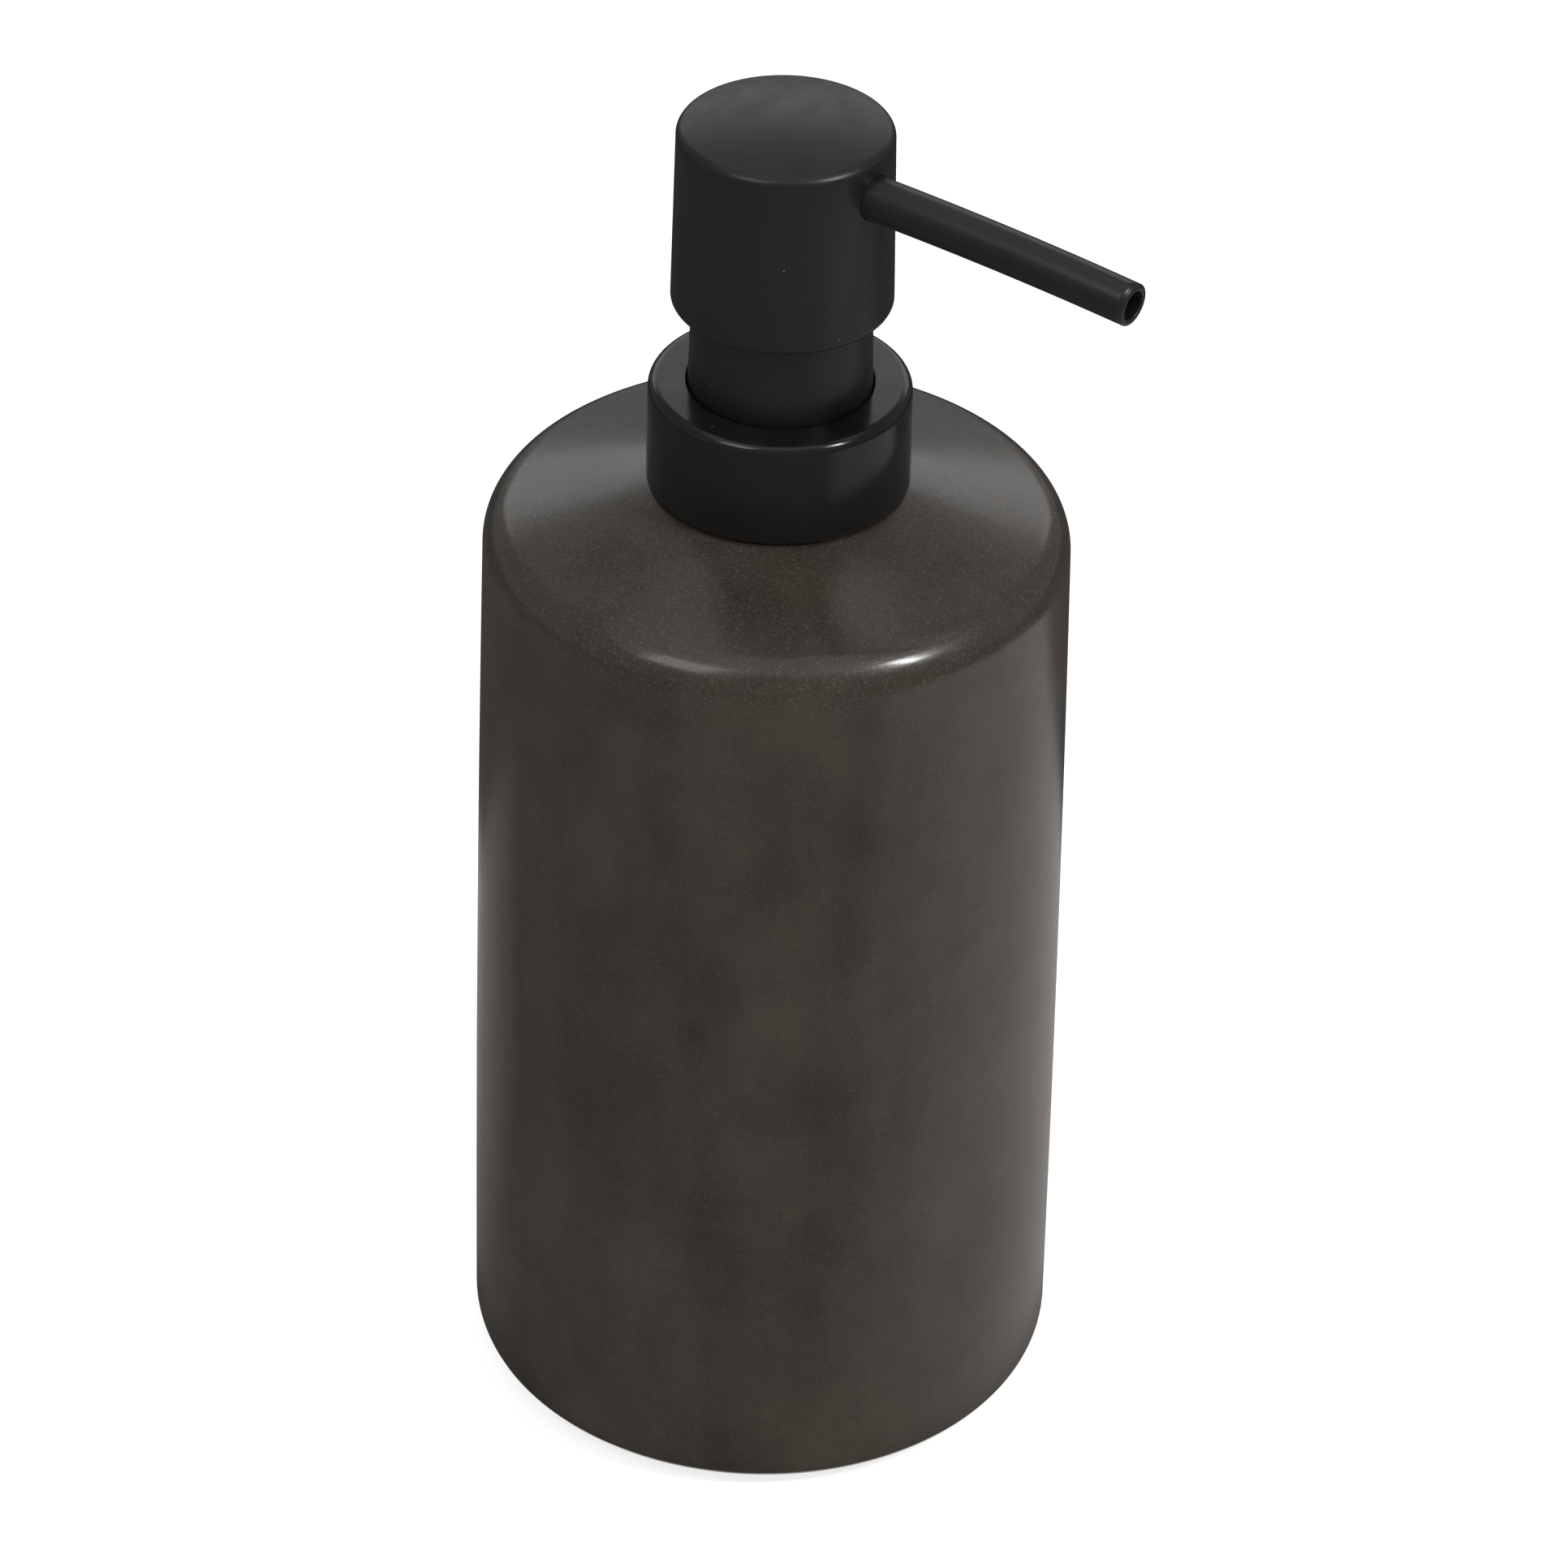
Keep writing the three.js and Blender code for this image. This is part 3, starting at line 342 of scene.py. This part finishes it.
def bored_for_spout(cap):
    """Cuts the spout's round hole through the side of the head."""
    spout_z = heights("head_shell")[1] - SPOUT_DROP
    reach = outer_radius("head_shell") * 2
    radius = SPOUT_ROOT_RADIUS + SPOUT_HOLE_GAP
    start = 4.0
    profile = np.array([[0, start], [radius, start], [radius, reach], [0, reach]])
    drill = revolved("drill", profile, 96, closed=False)
    drill.data.transform(Matrix.Translation((0, 0, spout_z * MM)) @ Matrix.Rotation(QUARTER, 4, "Y"))
    cut = cap.modifiers.new("spout_hole", "BOOLEAN")
    cut.operation = "DIFFERENCE"
    cut.solver = "EXACT"
    cut.object = drill
    ready = cap.evaluated_get(bpy.context.evaluated_depsgraph_get())
    mesh = bpy.data.meshes.new_from_object(ready)
    cap.modifiers.clear()
    cap.data = mesh
    bpy.data.objects.remove(drill)
    cap.data.shade_smooth()
    cap.data.set_sharp_from_angle(angle=math.radians(40))
    return cap


# ------------------------------------------------------------------ the spring
def return_spring():
    """A round wire carried along an evenly rising helix, its two open ends filled."""
    low_z, high_z = heights("spring")
    wire = 0.42
    mean = outer_radius("spring") - wire
    coils = 8
    t = np.linspace(0, 1, coils * 48 + 1)[:, None]
    around = np.linspace(0, FULL_TURN, 16, endpoint=False)[None, :]
    turn = t * coils * FULL_TURN
    rise = low_z + wire + (high_z - low_z - 2 * wire) * t
    radius = mean + wire * np.cos(around)
    points = np.stack([radius * np.cos(turn), radius * np.sin(turn), rise + wire * np.sin(around)], -1)
    coil = surface("return_spring", points, False, True)
    shape = bmesh.new()
    shape.from_mesh(coil.data)
    bmesh.ops.holes_fill(shape, edges=[e for e in shape.edges if e.is_boundary], sides=0)
    bmesh.ops.recalc_face_normals(shape, faces=shape.faces)
    shape.to_mesh(coil.data)
    shape.free()
    return coil


# ------------------------------------------------------------------ materials
class Recipe:
    """A finish under construction: its node tree, with short ways to add and join nodes."""

    def __init__(self, name):
        self.material = bpy.data.materials.new(name)
        self.material.use_nodes = True
        self.nodes = self.material.node_tree.nodes
        self.links = self.material.node_tree.links
        self.shader = self.nodes["Principled BSDF"]
        self.place = self.nodes.new("ShaderNodeTexCoord").outputs["Object"]

    def add(self, kind, settings=(), **inputs):
        """Adds a node, sets its own settings, then its inputs from numbers or from other nodes' outputs."""
        made = self.nodes.new(kind)
        for key, value in dict(settings).items():
            setattr(made, key, value)
        for key, value in inputs.items():
            socket = made.inputs[int(key[1:])] if key[1:].isdigit() else made.inputs[key.replace("_", " ")]
            self.feed(socket, value)
        return made

    def feed(self, socket, value):
        """Joins an output to a socket, or sets the socket to a number or colour."""
        if isinstance(value, bpy.types.NodeSocket):
            self.links.new(value, socket)
        else:
            socket.default_value = value

    def stretched(self, x=1, y=1, z=1):
        """Object coordinates scaled along each axis."""
        return self.add("ShaderNodeMapping", Vector=self.place, Scale=(x, y, z)).outputs["Vector"]

    def noise(self, size_mm, detail=3, roughness=0.5, place=None):
        """Cloudy noise whose features are about size_mm across."""
        vector = place if place is not None else self.place
        made = self.add("ShaderNodeTexNoise", Vector=vector, Scale=1 / (size_mm * MM), Detail=detail)
        made.inputs["Roughness"].default_value = roughness
        return made.outputs["Fac"]

    def ranged(self, value, low, high, to_low, to_high):
        """A value from low to high, remapped to to_low to to_high and clamped."""
        made = self.add("ShaderNodeMapRange", Value=value)
        made.inputs["From Min"].default_value = low
        made.inputs["From Max"].default_value = high
        made.inputs["To Min"].default_value = to_low
        made.inputs["To Max"].default_value = to_high
        return made.outputs["Result"]

    def blended(self, share, first, second):
        """A colour between first and second."""
        made = self.add("ShaderNodeMix", {"data_type": "RGBA"}, Factor=share)
        self.feed(made.inputs[6], first)
        self.feed(made.inputs[7], second)
        return made.outputs[2]

    def maths(self, operation, first, second=0.0):
        """One arithmetic step."""
        made = self.add("ShaderNodeMath", {"operation": operation})
        self.feed(made.inputs[0], first)
        self.feed(made.inputs[1], second)
        return made.outputs[0]

    def bumped(self, height, depth_mm, strength=1.0, below=None):
        """A bump of depth_mm from a height between 0 and 1, on top of another bump."""
        made = self.add("ShaderNodeBump", Height=height, Distance=depth_mm * MM, Strength=strength)
        if below is not None:
            self.feed(made.inputs["Normal"], below)
        return made.outputs["Normal"]

    def finish(self, **sockets):
        """Sets the shader's sockets by name and returns the material."""
        for key, value in sockets.items():
            self.feed(self.shader.inputs[key.replace("_", " ")], value)
        return self.material


def grey(value, warmth=0.0):
    """A near-neutral colour, warmer in red and cooler in blue by warmth."""
    return (value * (1 + warmth), value, value * (1 - warmth), 1)


def metallic_glaze():
    """Stoneware glaze, satin under thin gloss: cloudy warm grey, upright streaks, grain with pale flecks
    (partly painted sparkle) mostly on the shoulder top; bare clay below.
    """
    glaze = Recipe("metallic_glaze")
    clouds = glaze.noise(22, 5, 0.62)
    streaks = glaze.noise(7, 3, 0.6, glaze.stretched(1, 1, 0.22))
    speckle = glaze.noise(0.36, 2, 0.7)
    across = glaze.add("ShaderNodeSeparateXYZ", Vector=glaze.place)
    on_top = glaze.ranged(across.outputs["Z"], (WALL_TOP - 3) * MM, (WALL_TOP + 3) * MM, 0.3, 1)
    tone = glaze.maths("ADD", glaze.maths("MULTIPLY", clouds, 0.7), glaze.maths("MULTIPLY", streaks, 0.3))
    share = glaze.ranged(tone, 0.38, 0.62, 0, 1)
    body = glaze.blended(share, grey(0.020, 0.25), grey(0.037, 0.30))
    # Pale flecks: the glaze's own grain, painted mostly on the shoulder top where its sparkle catches the
    # light, so partly painted highlight.
    grain_and_painted_sparkle = glaze.maths("MULTIPLY", glaze.ranged(speckle, 0.53, 0.70, 0, 0.65), on_top)
    coloured = glaze.blended(grain_and_painted_sparkle, body, grey(0.10, 0.2))
    radius = glaze.add("ShaderNodeVectorMath", {"operation": "LENGTH"},
                       _0=glaze.stretched(1, 1, 0)).outputs["Value"]
    inside_foot = glaze.ranged(radius, (FOOT_RADIUS - 0.2) * MM, (FOOT_RADIUS + 0.2) * MM, 1, 0)
    at_bottom = glaze.ranged(across.outputs["Z"], 0.3 * MM, 0.6 * MM, 1, 0)
    bare = glaze.maths("MULTIPLY", inside_foot, at_bottom)
    clay = glaze.blended(glaze.noise(2.5, 5, 0.7), grey(0.16, 0.22), grey(0.24, 0.2))
    colour = glaze.blended(bare, coloured, clay)
    satin = glaze.ranged(streaks, 0.35, 0.65, 0.28, 0.38)
    roughness = glaze.maths("MAXIMUM", satin, glaze.maths("MULTIPLY", bare, 0.85))
    ripple = glaze.bumped(glaze.noise(14, 2, 0.5), 0.05)
    grain = glaze.bumped(speckle, 0.034, on_top, below=ripple)
    gloss = glaze.maths("MULTIPLY", glaze.maths("SUBTRACT", 1.0, bare), 0.8)
    return glaze.finish(Base_Color=colour, Roughness=roughness, Normal=grain, IOR=1.38, Coat_Weight=gloss,
                        Coat_Roughness=0.17, Coat_IOR=1.5, Coat_Normal=ripple)


def black_plastic(name, tone, rough_low, rough_high, grain_mm, grain_depth):
    """Moulded black plastic: even colour with slight flow clouds, fine mould grain and a few dust specks."""
    plastic = Recipe(name)
    flow = plastic.noise(9, 3, 0.5)
    colour = plastic.blended(flow, grey(tone * 0.85, 0.08), grey(tone * 1.15, 0.1))
    dust_place = plastic.add("ShaderNodeTexVoronoi", Vector=plastic.place, Scale=1 / (4.5 * MM))
    dust = plastic.ranged(dust_place.outputs["Distance"], 0.018, 0.03, 1, 0)
    dusted = plastic.blended(dust, colour, grey(0.16, 0.03))
    roughness = plastic.ranged(plastic.noise(3, 4, 0.6), 0.3, 0.7, rough_low, rough_high)
    wave = plastic.bumped(plastic.noise(6, 2, 0.4), 0.015)
    grain = plastic.bumped(plastic.noise(grain_mm, 2, 0.6), grain_depth, below=wave)
    return plastic.finish(Base_Color=dusted, Roughness=roughness, Normal=grain, IOR=1.5)


def natural_plastic():
    """Uncoloured moulded plastic, milky, with faint flow marks."""
    plastic = Recipe("natural_plastic")
    flow = plastic.noise(5, 3, 0.5)
    colour = plastic.blended(flow, (0.70, 0.71, 0.66, 1), (0.80, 0.81, 0.78, 1))
    roughness = plastic.ranged(plastic.noise(1.5, 3, 0.6), 0.3, 0.7, 0.36, 0.5)
    grain = plastic.bumped(plastic.noise(0.3, 2, 0.5), 0.006)
    return plastic.finish(Base_Color=colour, Roughness=roughness, Normal=grain, Subsurface_Weight=0.15,
                          Subsurface_Radius=(0.002, 0.002, 0.002), Subsurface_Scale=1.0)


def clear_plastic():
    """Translucent tube plastic with drawn lines along its length."""
    plastic = Recipe("clear_plastic")
    lines = plastic.noise(0.4, 3, 0.6, plastic.stretched(1, 1, 0.03))
    colour = plastic.blended(lines, (0.78, 0.80, 0.78, 1), (0.88, 0.89, 0.87, 1))
    roughness = plastic.ranged(lines, 0.3, 0.7, 0.22, 0.34)
    return plastic.finish(Base_Color=colour, Roughness=roughness, Normal=plastic.bumped(lines, 0.004),
                          Transmission_Weight=0.35, IOR=1.5)


def seal_rubber():
    """Soft grey sealing rubber with a bloom and fine pores."""
    rubber = Recipe("seal_rubber")
    bloom = rubber.noise(2.2, 4, 0.6)
    colour = rubber.blended(bloom, grey(0.07), grey(0.12))
    roughness = rubber.ranged(bloom, 0.3, 0.7, 0.6, 0.8)
    grain = rubber.bumped(rubber.noise(0.2), 0.01)
    return rubber.finish(Base_Color=colour, Roughness=roughness, Normal=grain)


def cured_adhesive():
    """Cured adhesive: cream, uneven and slightly waxy."""
    bond = Recipe("adhesive")
    lumps = bond.noise(1.6, 4, 0.6)
    colour = bond.blended(lumps, (0.50, 0.46, 0.38, 1), (0.62, 0.58, 0.50, 1))
    roughness = bond.ranged(lumps, 0.3, 0.7, 0.5, 0.7)
    return bond.finish(Base_Color=colour, Roughness=roughness, Normal=bond.bumped(lumps, 0.05))


def spring_steel():
    """Drawn stainless wire: bright, with fine lines round the coil."""
    steel = Recipe("spring_steel")
    drawn = steel.noise(0.12, 3, 0.6)
    colour = steel.blended(drawn, (0.48, 0.49, 0.51, 1), (0.62, 0.63, 0.65, 1))
    roughness = steel.ranged(drawn, 0.3, 0.7, 0.2, 0.36)
    grain = steel.bumped(drawn, 0.004)
    return steel.finish(Base_Color=colour, Roughness=roughness, Metallic=1.0, Normal=grain)


def dress(obj, material, body):
    """Gives a new piece its finish and body."""
    obj.data.materials.clear()
    obj.data.materials.append(material)
    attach(obj, body)


finishes = {
    "metallic_glaze": metallic_glaze(),
    "satin_black_plastic": black_plastic("satin_black_plastic", 0.012, 0.30, 0.40, 0.35, 0.006),
    "gloss_black_plastic": black_plastic("gloss_black_plastic", 0.010, 0.13, 0.20, 0.6, 0.003),
    "natural_plastic": natural_plastic(),
    "clear_plastic": clear_plastic(),
    "seal_rubber": seal_rubber(),
    "adhesive": cured_adhesive(),
    "spring_steel": spring_steel(),
}
node_slots = {row["node"]: row["material_slot"] for row in frame["record"]["subparts"]}
for node_name, node in frame["nodes"].items():
    node.data.materials.clear()
    node.data.materials.append(finishes[node_slots[node_name]])


# ------------------------------------------------------------------ putting the pieces on
def stand_for(piece, node, body):
    """A finished piece takes a CAD node's place, with its slot's finish."""
    slot = node_slots[node]
    dress(piece, finishes[slot], body)
    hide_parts(node)
    return piece


stand_for(glazed_bottle(), "bottle", "vessel")
stand_for(black_collar(), "collar_sleeve", "closure")
stand_for(guide_tube(), "guide_sleeve", "engine")
stand_for(bored_for_spout(head_cap()), "head_shell", "pump_head")
stand_for(spout_tube(), "spout", "pump_head")
coil = stand_for(return_spring(), "spring", "engine")
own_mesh(coil)


# ------------------------------------------------------------------ stage, lights and camera
VIEW_AZIMUTH = 35.0
STAGE_REACH = 6.0
FLOOR_GAP = 0.05 * MM
RING_HEIGHT = 0.6 * MM
RING_INNER_RADIUS = 36 * MM
RING_TURNS = 180


def towards(azimuth, elevation):
    """Unit vector from the object towards that azimuth and elevation in degrees, as the views count them."""
    a = math.radians(azimuth)
    e = math.radians(elevation)
    return Vector((math.sin(a) * math.cos(e), -math.cos(a) * math.cos(e), math.sin(e)))


def pale_floor():
    """A wide pale light table: a nearly white sheet with a faint uneven tone and some light of its own."""
    size = STAGE_REACH
    mesh = bpy.data.meshes.new("floor")
    z = -FLOOR_GAP
    corners = [(-size, -size, z), (size, -size, z), (size, size, z), (-size, size, z)]
    mesh.from_pydata(corners, [], [(0, 1, 2, 3)])
    floor = bpy.data.objects.new("floor", mesh)
    bpy.context.scene.collection.objects.link(floor)
    sheet = Recipe("pale_floor")
    tone = sheet.blended(sheet.noise(120, 3), grey(0.80, 0.002), grey(0.83, 0.002))
    mesh.materials.append(sheet.finish(Base_Color=tone, Roughness=0.9, Emission_Color=(1, 1, 1, 1),
                                       Emission_Strength=0.75))


def painted_reflection_ring():
    """A sheet laid round the object that only reflections show, painted with the light and shade the glaze
    mirrors: painted lit floor near it and to its right, painted dark room elsewhere, painted contact shadow
    right beside the base.

    The tone is a product of smooth steps in radius and in azimuth counted from the camera's.
    """
    turn = np.linspace(0, FULL_TURN, RING_TURNS, endpoint=False)[:, None]
    radius = np.geomspace(RING_INNER_RADIUS, STAGE_REACH, 80)[None, :]
    azimuth = (np.degrees(turn) - (VIEW_AZIMUTH - 90) + 180) % 360 - 180
    # Painted reflection: how far the painted lit floor reaches and how pale it is at each azimuth; dark is
    # the painted dark room, a little lighter towards the front.
    pale_reach = np.interp(azimuth, [-180, -140, -112, -95, 20, 40, 60, 95, 130, 150, 180],
                           [0.12, 0.12, 0.17, 0.06, 0.045, 0.22, 0.36, 0.32, 0.17, 0.12, 0.12])
    pale = np.interp(azimuth, [-180, -150, -120, -90, 0, 30, 60, 110, 140, 180],
                     [0.75, 0.70, 0.42, 0.22, 0.17, 0.36, 0.56, 0.60, 0.65, 0.75])
    share = np.clip((pale_reach * 1.12 - radius) / (0.24 * pale_reach), 0, 1)
    share = share * share * (3 - 2 * share)
    dark = 0.04 + 0.17 * np.exp(-(((azimuth + 10) / 95) ** 2))
    # Painted contact shadow: the sheet darkens right beside the base, so the lower wall mirrors shade there.
    painted_contact_shadow = np.interp(radius, [RING_INNER_RADIUS, 0.039, 0.043], [0.3, 0.5, 1.0])
    tone = (dark + (pale - dark) * share) * painted_contact_shadow
    height = np.full(tone.shape, RING_HEIGHT)
    grid = np.stack([radius * np.cos(turn), radius * np.sin(turn), height], -1)
    ring = surface("painted_reflection_ring", grid / MM, True, False)
    place = np.empty(len(ring.data.vertices) * 3)
    ring.data.vertices.foreach_get("co", place)
    place = place.reshape(-1, 3)
    turned = np.arctan2(place[:, 1], place[:, 0]) % FULL_TURN
    row = np.round(turned / FULL_TURN * RING_TURNS).astype(int) % RING_TURNS
    column = np.abs(np.hypot(place[:, 0], place[:, 1])[:, None] - radius).argmin(1)
    ring.data.attributes.new("tone", "FLOAT", "POINT").data.foreach_set("value", tone[row, column])
    reflection_sheet = Recipe("painted_reflection_tones")
    tone_read = reflection_sheet.add("ShaderNodeAttribute", {"attribute_name": "tone"}).outputs["Fac"]
    weave = reflection_sheet.ranged(reflection_sheet.noise(1.2, 2), 0, 1, 0.9, 1.1)
    warm = reflection_sheet.blended(reflection_sheet.maths("MULTIPLY", tone_read, weave), grey(0.0), grey(1.0, 0.05))
    ring.data.materials.append(reflection_sheet.finish(Base_Color=warm, Roughness=0.9))
    for way in ("camera", "diffuse", "shadow", "transmission"):
        setattr(ring, "visible_" + way, False)


def softbox(name, azimuth, elevation, distance, width, height, radiance, aim=(0, 0, 0.12)):
    """A rectangular softbox that faces the object, azimuth counted from the camera's own."""
    light = bpy.data.lights.new(name, "AREA")
    light.shape = "RECTANGLE"
    light.size = width
    light.size_y = height
    light.energy = radiance * math.pi * width * height
    obj = bpy.data.objects.new(name, light)
    obj.location = Vector(aim) + towards(VIEW_AZIMUTH + azimuth, elevation) * distance
    obj.rotation_mode = "QUATERNION"
    obj.rotation_quaternion = towards(VIEW_AZIMUTH + azimuth, elevation).to_track_quat("Z", "Y")
    bpy.context.scene.collection.objects.link(obj)


def studio_world():
    """A dim, even room."""
    world = bpy.data.worlds.new("studio")
    world.use_nodes = True
    world.node_tree.nodes["Background"].inputs["Color"].default_value = (1, 1, 1, 1)
    world.node_tree.nodes["Background"].inputs["Strength"].default_value = 0.22
    bpy.context.scene.world = world


def camera():
    """The camera looks down at the bottle through a long lens, with a slight lean."""
    azimuth = VIEW_AZIMUTH - 0.13
    elevation = 35.29
    distance = 0.8603
    lean = math.radians(1.39)
    sideways = 1.62 * MM
    aim_height = 84.8 * MM
    right = towards(VIEW_AZIMUTH + 90, 0)
    aim = right * sideways + Vector((0, 0, aim_height))
    data = bpy.data.cameras.new("camera")
    data.lens = 157.0
    data.sensor_width = 36.0
    data.clip_start = 0.01
    data.clip_end = 50
    obj = bpy.data.objects.new("camera", data)
    back = towards(azimuth, elevation)
    obj.location = aim + back * distance
    turned = back.to_track_quat("Z", "Y").to_matrix().to_4x4() @ Matrix.Rotation(lean, 4, "Z")
    obj.rotation_mode = "QUATERNION"
    obj.rotation_quaternion = turned.to_quaternion()
    bpy.context.scene.collection.objects.link(obj)
    bpy.context.scene.camera = obj


pale_floor()
painted_reflection_ring()
studio_world()
softbox("right_softbox", 61, 46, 1.1, 0.12, 0.26, 42)
softbox("left_softbox", -44, 52, 1.1, 0.42, 0.42, 2.6)
softbox("back_panel", 180, 25, 1.7, 2.0, 0.5, 0.95)
softbox("overhead_bank", 0, 90, 1.5, 1.8, 1.8, 0.4)
camera()
bpy.context.scene.view_settings.view_transform = "Standard"
